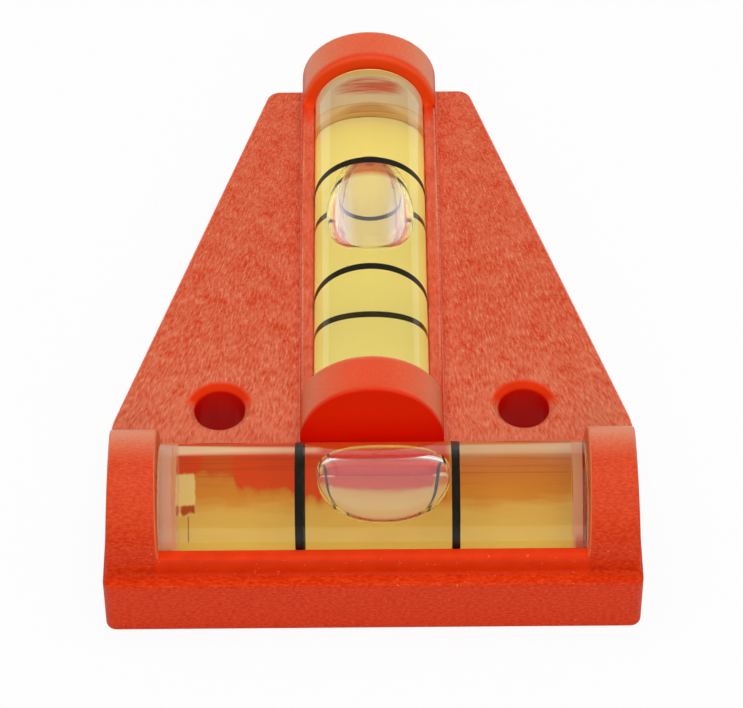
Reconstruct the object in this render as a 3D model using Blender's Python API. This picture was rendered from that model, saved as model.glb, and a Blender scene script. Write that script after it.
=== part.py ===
"""A T-shaped bubble level: one moulded housing with two tubular vials at right angles.

+X is right, +Y runs from the wide front edge to the narrow back edge, and the underside lies on Z = 0.
Every size is in metres.
"""

import math

import bmesh
import bpy
from mathutils import Matrix, Vector

# Vials. Both are the same moulding, so one set of sizes makes them.
VIAL_DIAMETER = 0.0100
VIAL_LENGTH = 0.0356
VIAL_WALL = 0.0010
VIAL_END_WALL = 0.0013
VIAL_EDGE_ROUND = 0.0002
BORE_BULGE = 0.00015
PLUG_DISC = 0.0014
PLUG_SPIGOT = 0.0007
PLUG_GAP = 0.00015
LIQUID_GAP = 0.0002

# Lines round each vial
LINE_SPACING = 0.0131
LINE_WIDTH = 0.0008
LINE_DEPTH = 0.00015
LINE_GAP = 0.00012

# Bubbles
BUBBLE_LENGTH = 0.0112
BUBBLE_WIDTH = 0.0062
BUBBLE_DEPTH = 0.0024
BUBBLE_TOP_GAP = 0.0003
BUBBLE_LIQUID_GAP = 0.0003
BUBBLE_SQUARENESS = 2.6
TRANSVERSE_BUBBLE_REST = 0.0005
LONGITUDINAL_BUBBLE_REST = 0.0024

# Cradles, which hold the vials
SEAT_GAP = 0.0002
END_GAP = 0.0002
CRADLE_WALL = 0.0010
AXIS_HEIGHT = 0.0078
SILL_DROP = 0.0001
FOOT_FLARE = 0.00025
DRAFT = math.radians(3.0)
RIM_ROUND = 0.0003
CHEEK_LENGTH = 0.00465
CHEEK_INSET = 0.0002

# Base plate
PLATE_HEIGHT = 0.0059
FRONT_LEDGE = 0.0014
CRADLE_SPACING = 0.0006
NEAR_BLOCK_LENGTH = 0.0047
FAR_BLOCK_LENGTH = 0.0040
BACK_LEDGE = 0.0002
BACK_SHOULDER = 0.0031
SIDE_BEHIND_CRADLE = 0.0041
CORNER_ROUND = 0.0009
EDGE_ROUND = 0.0003

# Screw holes
HOLE_DIAMETER = 0.0044
COUNTERSINK = 0.0005
HOLE_BEHIND_CRADLE = 0.0061
HOLE_BESIDE_CRADLE = 0.00705

# Coring of the underside
SKIN = 0.0020
RIM = 0.0016
RIB = 0.0012
RIB_RECESS = 0.0005
BOSS_WALL = 0.0018
POCKET_ROUND = 0.0008
CROSS_RIB_SHARES = (0.42, 0.68)

# Adhesive: two runs of it lie under each vial, in the room that the seat leaves there
ADHESIVE_ROOM = 0.0005
ADHESIVE_GAP = 0.00015
ADHESIVE_RISE = math.radians(50.0)
ADHESIVE_END = 0.0021
ADHESIVE_BREAK = 0.0008
ADHESIVE_BREAK_SHARE = -0.06
ADHESIVE_ROUND = 0.0012

# How finely round shapes are divided
ROUND_STEPS = 40
SMALL_ARC_STEPS = 4
BORE_STEPS = 8
BUBBLE_STEPS = 16

OVERRUN = 0.0010
MERGE_DISTANCE = 0.0000015

# Sizes that follow from the ones above
VIAL_RADIUS = VIAL_DIAMETER / 2
BORE_RADIUS = VIAL_RADIUS - VIAL_WALL
SEAT_RADIUS = VIAL_RADIUS + SEAT_GAP
CRADLE_RADIUS = SEAT_RADIUS + CRADLE_WALL
SILL_HEIGHT = AXIS_HEIGHT - SILL_DROP
TOP_HEIGHT = AXIS_HEIGHT + CRADLE_RADIUS
TROUGH_LENGTH = VIAL_LENGTH + 2 * END_GAP
BASE_WIDTH = TROUGH_LENGTH + 2 * CHEEK_LENGTH
BACK_WIDTH = 2 * (CRADLE_RADIUS + BACK_SHOULDER)
BASE_LENGTH = (
    FRONT_LEDGE
    + 2 * CRADLE_RADIUS
    + CRADLE_SPACING
    + NEAR_BLOCK_LENGTH
    + TROUGH_LENGTH
    + FAR_BLOCK_LENGTH
    + BACK_LEDGE
)
FRONT = -BASE_LENGTH / 2
BACK = BASE_LENGTH / 2
TRANSVERSE_Y = FRONT + FRONT_LEDGE + CRADLE_RADIUS
CRADLE_BACK = TRANSVERSE_Y + CRADLE_RADIUS
BAR_FRONT = CRADLE_BACK + CRADLE_SPACING
BAR_BACK = BACK - BACK_LEDGE
LONGITUDINAL_Y = BAR_FRONT + NEAR_BLOCK_LENGTH + TROUGH_LENGTH / 2
SHOULDER_Y = CRADLE_BACK + SIDE_BEHIND_CRADLE
HOLE_X = CRADLE_RADIUS + HOLE_BESIDE_CRADLE
HOLE_Y = CRADLE_BACK + HOLE_BEHIND_CRADLE

# Along a vial, from its middle: the plug is at the low end and the closed wall at the high end.
VIAL_LOW = -VIAL_LENGTH / 2
VIAL_HIGH = VIAL_LENGTH / 2
CHAMBER_LOW = VIAL_LOW + PLUG_DISC + PLUG_SPIGOT
CHAMBER_HIGH = VIAL_HIGH - VIAL_END_WALL
CHAMBER_MIDDLE = (CHAMBER_LOW + CHAMBER_HIGH) / 2
LINE_PLACES = (CHAMBER_MIDDLE - LINE_SPACING / 2, CHAMBER_MIDDLE + LINE_SPACING / 2)


def clear_scene():
    for item in list(bpy.data.objects):
        bpy.data.objects.remove(item, do_unlink=True)


def make_material(name, colour, roughness, metallic=0.0, transmission=0.0, ior=1.5):
    material = bpy.data.materials.new(name)
    material.use_nodes = True
    shader = material.node_tree.nodes["Principled BSDF"]
    shader.inputs["Base Color"].default_value = (*colour, 1.0)
    shader.inputs["Roughness"].default_value = roughness
    shader.inputs["Metallic"].default_value = metallic
    shader.inputs["Transmission Weight"].default_value = transmission
    shader.inputs["IOR"].default_value = ior
    material.diffuse_color = (*colour, 1.0)
    return material


def make_object(name, shape, material=None, parent=None):
    """Turns a bmesh into an object, smooth except at its sharp edges."""
    bmesh.ops.recalc_face_normals(shape, faces=shape.faces)
    mesh = bpy.data.meshes.new(name)
    shape.to_mesh(mesh)
    shape.free()
    finish_shading(mesh)
    item = bpy.data.objects.new(name, mesh)
    bpy.context.scene.collection.objects.link(item)
    item.parent = parent
    if material:
        mesh.materials.append(material)
    return item


def finish_shading(mesh):
    mesh.shade_smooth()
    mesh.set_sharp_from_angle(angle=math.radians(30))


def make_tool(name, shape):
    """A helper for a Boolean, which isn't part of the level."""
    tool = make_object(name, shape)
    tool.hide_render = True
    tool.display_type = "WIRE"
    return tool


def combine(target, tool, operation):
    """Applies one Boolean to the target and takes its helper away."""
    modifier = target.modifiers.new(tool.name, "BOOLEAN")
    modifier.operation = operation
    modifier.object = tool
    graph = bpy.context.evaluated_depsgraph_get()
    mesh = bpy.data.meshes.new_from_object(target.evaluated_get(graph))
    target.modifiers.clear()
    target.data = mesh
    finish_shading(mesh)
    bpy.data.objects.remove(tool, do_unlink=True)


def arc(centre, radius, start, end, steps):
    angles = [start + (end - start) * step / steps for step in range(steps + 1)]
    return [centre + radius * Vector((math.cos(angle), math.sin(angle))) for angle in angles]


def rounded(corners, radius, steps=SMALL_ARC_STEPS):
    """A closed outline whose corners are rounded by arcs."""
    points = []
    for index, corner in enumerate(corners):
        here = Vector(corner)
        to_last = (Vector(corners[index - 1]) - here).normalized()
        to_next = (Vector(corners[(index + 1) % len(corners)]) - here).normalized()
        half_angle = to_last.angle(to_next) / 2
        centre = here + (to_last + to_next).normalized() * radius / math.sin(half_angle)
        first = here + to_last * radius / math.tan(half_angle) - centre
        last = here + to_next * radius / math.tan(half_angle) - centre
        for step in range(steps + 1):
            points.append(centre + first.slerp(last, step / steps).normalized() * radius)
    return points


def prism(outline, low, high):
    """An outline in plan, raised from one height to another."""
    shape = bmesh.new()
    floor = shape.faces.new([shape.verts.new((x, y, low)) for x, y in outline])
    raised = bmesh.ops.extrude_face_region(shape, geom=[floor])["geom"]
    corners = [item for item in raised if isinstance(item, bmesh.types.BMVert)]
    bmesh.ops.translate(shape, verts=corners, vec=(0, 0, high - low))
    return shape


def place(shape, matrix):
    bmesh.ops.transform(shape, matrix=matrix, verts=shape.verts)
    return shape


def box(low, high):
    outline = [(low[0], low[1]), (high[0], low[1]), (high[0], high[1]), (low[0], high[1])]
    return prism(outline, low[2], high[2])


def turned(profile, steps=ROUND_STEPS):
    """A profile of places along X and radii, turned once round the X axis."""
    shape = bmesh.new()
    points = [shape.verts.new((along, radius, 0)) for along, radius in profile]
    edges = [shape.edges.new(pair) for pair in zip(points[:-1], points[1:])]
    if min(profile[0][1], profile[-1][1]) > 0:
        edges.append(shape.edges.new((points[-1], points[0])))
    bmesh.ops.spin(
        shape,
        geom=points + edges,
        cent=(0, 0, 0),
        axis=(1, 0, 0),
        dvec=(0, 0, 0),
        angle=2 * math.pi,
        steps=steps,
        use_merge=True,
    )
    bmesh.ops.remove_doubles(shape, verts=shape.verts, dist=MERGE_DISTANCE)
    return shape


def round_edges(shape, width, chosen):
    """Rounds the edges for which chosen(edge) is true."""
    edges = [edge for edge in shape.edges if chosen(edge)]
    bmesh.ops.bevel(shape, geom=edges, offset=width, segments=2, profile=0.5, affect="EDGES")


def plate_shape():
    """The T-shaped base: straight sides beside the front cradle, then sides that taper to the back."""
    outline = rounded(
        [
            (-BASE_WIDTH / 2, FRONT),
            (BASE_WIDTH / 2, FRONT),
            (BASE_WIDTH / 2, SHOULDER_Y),
            (BACK_WIDTH / 2, BACK),
            (-BACK_WIDTH / 2, BACK),
            (-BASE_WIDTH / 2, SHOULDER_Y),
        ],
        CORNER_ROUND,
    )
    shape = prism(outline, 0, PLATE_HEIGHT)
    round_edges(shape, EDGE_ROUND, lambda edge: edge.verts[0].co.z == edge.verts[1].co.z)
    return shape


def drawn_along_x(outline, low, high):
    """An outline across a bar, drawn out from one place along X to another."""
    upright = Matrix(((0, 0, 1), (1, 0, 0), (0, 1, 0))).to_4x4()
    return place(prism(outline, low, high), upright)


def bar_shape(length):
    """A round-topped bar along X with a flared foot, whose end faces lean inwards as they rise."""
    foot = CRADLE_RADIUS + FOOT_FLARE
    crown = arc(Vector((0, AXIS_HEIGHT)), CRADLE_RADIUS, 0, math.pi, ROUND_STEPS // 2)
    outline = [(foot, PLATE_HEIGHT / 2), (foot, PLATE_HEIGHT), (CRADLE_RADIUS, PLATE_HEIGHT + FOOT_FLARE)]
    outline += [tuple(point) for point in crown]
    outline += [(-CRADLE_RADIUS, PLATE_HEIGHT + FOOT_FLARE), (-foot, PLATE_HEIGHT), (-foot, PLATE_HEIGHT / 2)]
    shape = drawn_along_x(outline, -length / 2, length / 2)
    for point in shape.verts:
        lean = max(point.co.z - PLATE_HEIGHT, 0) * math.tan(DRAFT)
        point.co.x -= math.copysign(lean, point.co.x)
    round_edges(shape, RIM_ROUND, is_crown_rim)
    return shape


def is_crown_rim(edge):
    """True for the edges where a bar's round top meets its end faces."""
    first, last = edge.verts
    above = min(first.co.z, last.co.z) >= PLATE_HEIGHT + FOOT_FLARE / 2
    return above and first.co.x * last.co.x > 0 and first.co.yz != last.co.yz


def window_shape():
    """What opens a bar above its sills, wider towards the top by the draft."""
    height = TOP_HEIGHT + OVERRUN - SILL_HEIGHT
    half_length = TROUGH_LENGTH / 2
    half_width = CRADLE_RADIUS + OVERRUN
    shape = box((-half_length, -half_width, SILL_HEIGHT), (half_length, half_width, SILL_HEIGHT + height))
    for point in shape.verts:
        if point.co.z > AXIS_HEIGHT:
            point.co.x += math.copysign(height * math.tan(DRAFT), point.co.x)
    return shape


def seat_section(margin=0.0):
    """Across a vial, the seat: round above the vial's axis, and round again below the room for adhesive."""
    radius = SEAT_RADIUS - margin
    upper = arc(Vector((0, 0)), radius, 0, math.pi, ROUND_STEPS // 2)
    lower = arc(Vector((0, -ADHESIVE_ROOM)), radius, math.pi, 2 * math.pi, ROUND_STEPS // 2)
    return upper + lower


def trough_shape():
    """The space in which a vial and its adhesive lie."""
    shape = drawn_along_x(seat_section(), -TROUGH_LENGTH / 2, TROUGH_LENGTH / 2)
    return place(shape, Matrix.Translation((0, 0, AXIS_HEIGHT)))


def merge(target, other):
    """Adds the faces of another bmesh, which doesn't touch this one."""
    mesh = bpy.data.meshes.new("part_of_tool")
    other.to_mesh(mesh)
    other.free()
    target.from_mesh(mesh)
    bpy.data.meshes.remove(mesh)


def slant_x(y, margin):
    """How far out the tapered side lies at y, less a margin square to it."""
    slope = (BASE_WIDTH - BACK_WIDTH) / 2 / (BACK - SHOULDER_Y)
    return BASE_WIDTH / 2 - (y - SHOULDER_Y) * slope - margin * math.hypot(1, slope)


def pocket_shape(side):
    """The space that cores the plate beside the long cradle, inside an even rim."""
    inner = CRADLE_RADIUS + FOOT_FLARE
    front = CRADLE_BACK + FOOT_FLARE
    back = BACK - RIM
    corners = [
        (inner, front),
        (BASE_WIDTH / 2 - RIM, front),
        (BASE_WIDTH / 2 - RIM, SHOULDER_Y),
        (slant_x(back, RIM), back),
        (inner, back),
    ]
    outline = [(side * x, y) for x, y in rounded(corners, POCKET_ROUND)]
    return prism(outline, -OVERRUN, PLATE_HEIGHT - SKIN)


def boss_shape():
    """The two posts that carry the screw holes."""
    shape = bmesh.new()
    radius = HOLE_DIAMETER / 2 + BOSS_WALL
    for side in (-1, 1):
        outline = arc(Vector((side * HOLE_X, HOLE_Y)), radius, 0, 2 * math.pi, ROUND_STEPS)[:-1]
        merge(shape, prism(outline, -2 * OVERRUN, PLATE_HEIGHT))
    return shape


def rib_places():
    """Where the cross ribs lie along Y: one through the bosses and the rest behind them."""
    return [HOLE_Y] + [SHOULDER_Y + share * (BACK - SHOULDER_Y) for share in CROSS_RIB_SHARES]


def cross_ribs_shape():
    shape = bmesh.new()
    for y in rib_places():
        low = (-BASE_WIDTH / 2, y - RIB / 2, RIB_RECESS)
        high = (BASE_WIDTH / 2, y + RIB / 2, PLATE_HEIGHT)
        merge(shape, box(low, high))
    return shape


def long_ribs_shape():
    """A rib from each boss to the front cradle."""
    shape = bmesh.new()
    for side in (-1, 1):
        low = (side * HOLE_X - RIB / 2, CRADLE_BACK - OVERRUN, RIB_RECESS)
        high = (side * HOLE_X + RIB / 2, HOLE_Y, PLATE_HEIGHT)
        merge(shape, box(low, high))
    return shape


def make_pockets():
    """The coring, with the bosses and ribs left standing in it."""
    shape = bmesh.new()
    for side in (-1, 1):
        merge(shape, pocket_shape(side))
    pockets = make_tool("pockets", shape)
    combine(pockets, make_tool("bosses", boss_shape()), "DIFFERENCE")
    combine(pockets, make_tool("cross_ribs", cross_ribs_shape()), "DIFFERENCE")
    combine(pockets, make_tool("long_ribs", long_ribs_shape()), "DIFFERENCE")
    return pockets


def holes_shape():
    """Two screw holes with a countersunk mouth."""
    radius = HOLE_DIAMETER / 2
    profile = [
        (-OVERRUN, 0),
        (-OVERRUN, radius),
        (PLATE_HEIGHT - COUNTERSINK, radius),
        (PLATE_HEIGHT + OVERRUN, radius + COUNTERSINK + OVERRUN),
        (PLATE_HEIGHT + OVERRUN, 0),
    ]
    shape = bmesh.new()
    for side in (-1, 1):
        upright = Matrix.Translation((side * HOLE_X, HOLE_Y, 0)) @ Matrix.Rotation(-math.pi / 2, 4, "Y")
        merge(shape, place(turned(profile), upright))
    return shape


def make_housing(material, seats):
    """The moulding. Each seat is the matrix that brings a bar along X to its place."""
    housing = make_object("housing", plate_shape(), material)
    for name, (matrix, length, shift) in seats.items():
        bar = place(bar_shape(length), matrix @ Matrix.Translation((shift, 0, 0)))
        combine(housing, make_tool(name + "_bar", bar), "UNION")
    combine(housing, make_pockets(), "DIFFERENCE")
    for name, (matrix, _, _) in seats.items():
        combine(housing, make_tool(name + "_window", place(window_shape(), matrix)), "DIFFERENCE")
        combine(housing, make_tool(name + "_trough", place(trough_shape(), matrix)), "DIFFERENCE")
    combine(housing, make_tool("holes", holes_shape()), "DIFFERENCE")
    return housing


def bore_radius_at(along, gap=0.0):
    """The bore is a shallow barrel, widest at the middle of its chamber."""
    half = (CHAMBER_HIGH - CHAMBER_LOW) / 2
    share = min(abs(along - CHAMBER_MIDDLE) / half, 1.0)
    return BORE_RADIUS - BORE_BULGE * share**2 - gap


def bore_profile(low, high, gap):
    places = [low + (high - low) * step / BORE_STEPS for step in range(BORE_STEPS + 1)]
    return [(along, bore_radius_at(along, gap)) for along in places]


def groove_profile(middle):
    """A shallow groove round the vial for one line."""
    half = LINE_WIDTH / 2 + LINE_GAP
    floor = VIAL_RADIUS - LINE_DEPTH - LINE_GAP
    return [
        (middle - half, VIAL_RADIUS),
        (middle - half, floor),
        (middle + half, floor),
        (middle + half, VIAL_RADIUS),
    ]


def round_end(tip, direction):
    """A disc's rounded rim, from its flat face to the vial's outer surface."""
    centre = Vector((tip - direction * VIAL_EDGE_ROUND, VIAL_RADIUS - VIAL_EDGE_ROUND))
    flat = 0 if direction > 0 else math.pi
    return [tuple(point) for point in arc(centre, VIAL_EDGE_ROUND, flat, math.pi / 2, SMALL_ARC_STEPS)]


def barrel_shape():
    """A tube closed at its high end, with a groove for each line."""
    mouth = VIAL_LOW + PLUG_DISC + PLUG_GAP
    profile = [(VIAL_HIGH, 0)] + round_end(VIAL_HIGH, 1)
    for middle in reversed(LINE_PLACES):
        profile += list(reversed(groove_profile(middle)))
    profile.append((mouth, VIAL_RADIUS))
    profile += bore_profile(mouth, CHAMBER_HIGH, 0)
    profile.append((CHAMBER_HIGH, 0))
    return turned(profile)


def plug_shape():
    """A disc as wide as the barrel, and a spigot that fills the mouth of its bore."""
    seat = VIAL_LOW + PLUG_DISC
    spigot = bore_radius_at(seat, PLUG_GAP)
    profile = [(VIAL_LOW, 0)] + round_end(VIAL_LOW, -1)
    profile += [(seat, VIAL_RADIUS), (seat, spigot), (CHAMBER_LOW, spigot), (CHAMBER_LOW, 0)]
    return turned(profile)


def liquid_shape():
    """The filling, level across its top, where the bubble slides."""
    low = CHAMBER_LOW + LIQUID_GAP
    high = CHAMBER_HIGH - LIQUID_GAP
    shape = turned([(low, 0)] + bore_profile(low, high, LIQUID_GAP) + [(high, 0)])
    surface = bubble_bottom() - BUBBLE_LIQUID_GAP
    everything = shape.verts[:] + shape.edges[:] + shape.faces[:]
    cut = bmesh.ops.bisect_plane(
        shape,
        geom=everything,
        plane_co=(0, 0, surface),
        plane_no=(0, 0, 1),
        clear_outer=True,
    )["geom_cut"]
    rim = [item for item in cut if isinstance(item, bmesh.types.BMEdge)]
    bmesh.ops.edgeloop_fill(shape, edges=rim)
    return shape


def bubble_top():
    return BORE_RADIUS - BUBBLE_TOP_GAP


def bubble_bottom():
    return bubble_top() - BUBBLE_DEPTH


def bubble_shape():
    """A long round-ended bubble that presses against the top of the bore."""
    limit = bubble_top()
    middle = math.sqrt(limit**2 - (BUBBLE_WIDTH / 2) ** 2)
    power = 2 / BUBBLE_SQUARENESS
    shape = bmesh.new()
    rings = []
    for step in range(1, BUBBLE_STEPS):
        angle = math.pi * step / BUBBLE_STEPS
        along = math.copysign(abs(math.cos(angle)) ** power, math.cos(angle)) * BUBBLE_LENGTH / 2
        swell = math.sin(angle) ** power
        ring = []
        for turn in range(2 * BUBBLE_STEPS):
            around = math.pi * turn / BUBBLE_STEPS
            reach = limit - middle if math.sin(around) > 0 else middle - bubble_bottom()
            across = swell * BUBBLE_WIDTH / 2 * math.cos(around)
            height = middle + swell * reach * math.sin(around)
            shrink = min(1.0, limit / math.hypot(across, height))
            ring.append(shape.verts.new((along, across * shrink, height * shrink)))
        rings.append(ring)
    for first, second in zip(rings[:-1], rings[1:]):
        for turn in range(2 * BUBBLE_STEPS):
            after = (turn + 1) % (2 * BUBBLE_STEPS)
            shape.faces.new((first[turn], first[after], second[after], second[turn]))
    for ring, end in ((rings[0], BUBBLE_LENGTH / 2), (rings[-1], -BUBBLE_LENGTH / 2)):
        tip = shape.verts.new((end, 0, middle))
        for turn in range(2 * BUBBLE_STEPS):
            shape.faces.new((ring[turn], ring[(turn + 1) % (2 * BUBBLE_STEPS)], tip))
    return shape


def line_shape(middle):
    """One line: a thin band in its groove."""
    inner = VIAL_RADIUS - LINE_DEPTH
    low = middle - LINE_WIDTH / 2
    high = middle + LINE_WIDTH / 2
    return turned([(low, inner), (low, VIAL_RADIUS), (high, VIAL_RADIUS), (high, inner)])


def adhesive_runs():
    """Where the two runs of adhesive start and end along a vial."""
    middle = ADHESIVE_BREAK_SHARE * VIAL_LENGTH
    first = (VIAL_LOW + ADHESIVE_END, middle - ADHESIVE_BREAK / 2)
    second = (middle + ADHESIVE_BREAK / 2, VIAL_HIGH - ADHESIVE_END)
    return first, second


def make_adhesive(name, run, material, parent):
    """One run of adhesive: its underside follows the seat, and its top is hollowed to the vial."""
    low, high = run
    half_width = (SEAT_RADIUS - ADHESIVE_GAP) * math.sin(ADHESIVE_RISE)
    corners = [(low, -half_width), (high, -half_width), (high, half_width), (low, half_width)]
    depth = SEAT_RADIUS + ADHESIVE_ROOM + OVERRUN
    bed = make_object(name, prism(rounded(corners, ADHESIVE_ROUND), -depth, 0), material, parent)
    seat = drawn_along_x(seat_section(ADHESIVE_GAP), low - OVERRUN, high + OVERRUN)
    reach = VIAL_RADIUS + ADHESIVE_GAP
    vial = turned([(VIAL_LOW, 0), (VIAL_LOW, reach), (VIAL_HIGH, reach), (VIAL_HIGH, 0)])
    for tool_name, shape, operation in (("_seat", seat, "INTERSECT"), ("_hollow", vial, "DIFFERENCE")):
        tool = make_tool(name + tool_name, shape)
        tool.parent = parent
        combine(bed, tool, operation)


def make_vial(name, seat, materials, bubble_rest, line_names, adhesive_names):
    """Everything in one cradle, carried by an empty on the vial's axis."""
    axis = bpy.data.objects.new(name + "_axis", None)
    bpy.context.scene.collection.objects.link(axis)
    axis.matrix_world = seat @ Matrix.Translation((0, 0, AXIS_HEIGHT))
    bpy.context.view_layer.update()
    make_object(name + "_barrel", barrel_shape(), materials["acrylic"], axis)
    make_object(name + "_plug", plug_shape(), materials["acrylic"], axis)
    make_object(name + "_liquid", liquid_shape(), materials["liquid"], axis)
    bubble = make_object(name + "_bubble", bubble_shape(), materials["air"], axis)
    bubble.location.x = CHAMBER_MIDDLE + bubble_rest
    for middle, line in zip(LINE_PLACES, line_names):
        make_object(f"{name}_line_{line}", line_shape(middle), materials["ink"], axis)
    for run, adhesive in zip(adhesive_runs(), adhesive_names):
        make_adhesive(f"{name}_adhesive_{adhesive}", run, materials["adhesive"], axis)


def main():
    clear_scene()
    materials = {
        "plastic": make_material("red_orange_plastic", (0.69, 0.075, 0.028), 0.55),
        "acrylic": make_material("clear_acrylic", (0.95, 0.95, 0.92), 0.03, transmission=1.0, ior=1.49),
        "liquid": make_material("yellow_liquid", (0.83, 0.62, 0.12), 0.0, transmission=1.0, ior=1.40),
        "air": make_material("bubble_air", (1.0, 1.0, 1.0), 0.0, transmission=1.0, ior=1.0),
        "ink": make_material("black_ink", (0.012, 0.011, 0.010), 0.45),
        "adhesive": make_material("cream_adhesive", (0.76, 0.66, 0.40), 0.35),
    }
    transverse = Matrix.Translation((0, TRANSVERSE_Y, 0))
    longitudinal = Matrix.Translation((0, LONGITUDINAL_Y, 0)) @ Matrix.Rotation(-math.pi / 2, 4, "Z")
    bar_length = BAR_BACK - BAR_FRONT
    bar_shift = LONGITUDINAL_Y - (BAR_BACK + BAR_FRONT) / 2
    seats = {
        "transverse": (transverse, BASE_WIDTH - 2 * CHEEK_INSET, 0),
        "longitudinal": (longitudinal, bar_length, bar_shift),
    }
    make_housing(materials["plastic"], seats)
    make_vial(
        "transverse_vial", transverse, materials, TRANSVERSE_BUBBLE_REST, ("left", "right"), ("left", "right")
    )
    make_vial(
        "longitudinal_vial", longitudinal, materials, -LONGITUDINAL_BUBBLE_REST, ("far", "near"), ("far", "near")
    )


main()
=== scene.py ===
import math

import bmesh
import bpy
from mathutils import Matrix, Vector, noise


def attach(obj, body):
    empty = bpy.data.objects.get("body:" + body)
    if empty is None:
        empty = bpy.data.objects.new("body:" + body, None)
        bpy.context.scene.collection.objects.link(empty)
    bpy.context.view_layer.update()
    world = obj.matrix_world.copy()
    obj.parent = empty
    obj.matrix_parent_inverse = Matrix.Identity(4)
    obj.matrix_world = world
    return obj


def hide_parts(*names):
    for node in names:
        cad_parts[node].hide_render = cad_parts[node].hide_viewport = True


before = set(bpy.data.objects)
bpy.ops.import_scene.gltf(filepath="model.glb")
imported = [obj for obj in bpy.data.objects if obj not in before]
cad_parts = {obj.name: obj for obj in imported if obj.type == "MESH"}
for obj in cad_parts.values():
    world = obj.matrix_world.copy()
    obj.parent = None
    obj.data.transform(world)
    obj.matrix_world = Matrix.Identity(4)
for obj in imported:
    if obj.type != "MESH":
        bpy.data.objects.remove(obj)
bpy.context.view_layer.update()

mm = 0.001  # the sizes below are in millimetres, and the scene is in metres
tiny = 0.00001  # metres, between places that count as one
close = 0.03  # millimetres, from a rounded or leaning face
exact = 0.01  # millimetres, from a flat one


# Small tools for modelling

def deselectAll():
    bpy.ops.object.select_all(action="DESELECT")


def useOnly(piece):
    deselectAll()
    piece.select_set(True)
    bpy.context.view_layer.objects.active = piece


def nameActive(name):
    piece = bpy.context.active_object
    piece.name = name
    piece.data.name = name
    return piece


def addBlock(name, low, high):  # corners in millimetres
    deselectAll()
    centre = [(a + b) / 2 * mm for a, b in zip(low, high)]
    size = [(b - a) * mm for a, b in zip(low, high)]
    bpy.ops.mesh.primitive_cube_add(size=1, location=centre, scale=size)
    bpy.ops.object.transform_apply()
    return nameActive(name)


def addRod(name, start, end, radius, sides=96, fill="NGON"):  # ends and radius in millimetres
    deselectAll()
    first, last = Vector(start) * mm, Vector(end) * mm
    turn = (last - first).to_track_quat("Z", "Y").to_euler()
    bpy.ops.mesh.primitive_cylinder_add(
        vertices=sides,
        radius=radius * mm,
        depth=(last - first).length,
        end_fill_type=fill,
        location=(first + last) / 2,
        rotation=turn,
    )
    bpy.ops.object.transform_apply()
    return nameActive(name)


def startEditing(piece):
    useOnly(piece)
    bpy.ops.object.mode_set(mode="EDIT")


def stopEditing():
    bpy.ops.object.mode_set(mode="OBJECT")


def pick(piece, kind, test):  # selects what passes the test, in edit mode
    bpy.ops.mesh.select_mode(type=kind)
    bpy.ops.mesh.select_all(action="DESELECT")
    shape = bmesh.from_edit_mesh(piece.data)
    shape.normal_update()
    for item in {"VERT": shape.verts, "EDGE": shape.edges, "FACE": shape.faces}[kind]:
        if test(item):
            item.select_set(True)
    shape.select_flush_mode()
    bmesh.update_edit_mesh(piece.data)


def pickAll():
    bpy.ops.mesh.select_all(action="SELECT")


def extrude(x, y, z):  # in edit mode, draws what is selected out by this, in metres
    bpy.ops.mesh.extrude_region_move(TRANSFORM_OT_translate={"value": (x, y, z)})


def roundEdges(piece, test, width, segments):  # in edit mode, by a width in millimetres
    pick(piece, "EDGE", test)
    bpy.ops.mesh.bevel(offset=width * mm, segments=segments)


def cutAcross(place, normal, **settings):  # in edit mode, cuts what is selected
    bpy.ops.mesh.bisect(plane_co=place, plane_no=normal, threshold=tiny / 100, **settings)


def movePoints(piece, rule):  # gives every point its new place
    shape = bmesh.from_edit_mesh(piece.data)
    for point in shape.verts:
        point.co = rule(point.co.copy())
    bmesh.update_edit_mesh(piece.data)


def settle(piece, place):  # moves a piece to its place, and takes that into its mesh
    piece.matrix_world = place
    useOnly(piece)
    bpy.ops.object.transform_apply()
    return piece


def applyModifier(piece, kind, **settings):
    useOnly(piece)
    modifier = piece.modifiers.new(kind.lower(), kind)
    for key, value in settings.items():
        setattr(modifier, key, value)
    bpy.ops.object.modifier_apply(modifier=modifier.name)


def combine(piece, tool, operation):
    applyModifier(piece, "BOOLEAN", operation=operation, solver="EXACT", object=tool)
    bpy.data.objects.remove(tool, do_unlink=True)


def smooth(piece, degrees=35):
    useOnly(piece)
    bpy.ops.object.shade_smooth_by_angle(angle=math.radians(degrees))


def isUpright(edge):
    first, last = edge.verts
    return abs(first.co.z - last.co.z) > tiny and (first.co.xy - last.co.xy).length < tiny


def isRim(edge):  # between a level face and an upright one
    if len(edge.link_faces) < 2:
        return False
    tilts = [abs(face.normal.z) for face in edge.link_faces]
    return max(tilts) > 0.9 and min(tilts) < 0.1


# Small tools for materials

def hexColour(code):  # an sRGB hex value as linear red, green, blue and alpha
    parts = [int(code[place:place + 2], 16) / 255 for place in (1, 3, 5)]
    linear = [part / 12.92 if part <= 0.04045 else ((part + 0.055) / 1.055) ** 2.4 for part in parts]
    return (*linear, 1.0)


def addNode(tree, kind, inputs=None, **settings):  # a node given as input means its first live output
    node = tree.nodes.new("ShaderNode" + kind)
    for key, value in settings.items():
        setattr(node, key, value)
    for socket, value in (inputs or {}).items():
        if isinstance(value, bpy.types.Node):
            value = next(output for output in value.outputs if output.enabled)
        if isinstance(value, bpy.types.NodeSocket):
            tree.links.new(value, node.inputs[socket])
        else:
            node.inputs[socket].default_value = value
    return node


def newMaterial(name):
    material = bpy.data.materials.new(name)
    material.use_nodes = True
    tree = material.node_tree
    tree.nodes.clear()
    return material, tree


def measure(tree, shift=(0, 0, 0)):  # coordinates, the place in shifted millimetres, and its parts
    spot = addNode(tree, "TexCoord")
    inputs = {"Vector": spot.outputs["Object"], "Location": shift, "Scale": (1 / mm,) * 3}
    inMm = addNode(tree, "Mapping", inputs)
    return spot, inMm, addNode(tree, "SeparateXYZ", {0: inMm}).outputs


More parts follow.
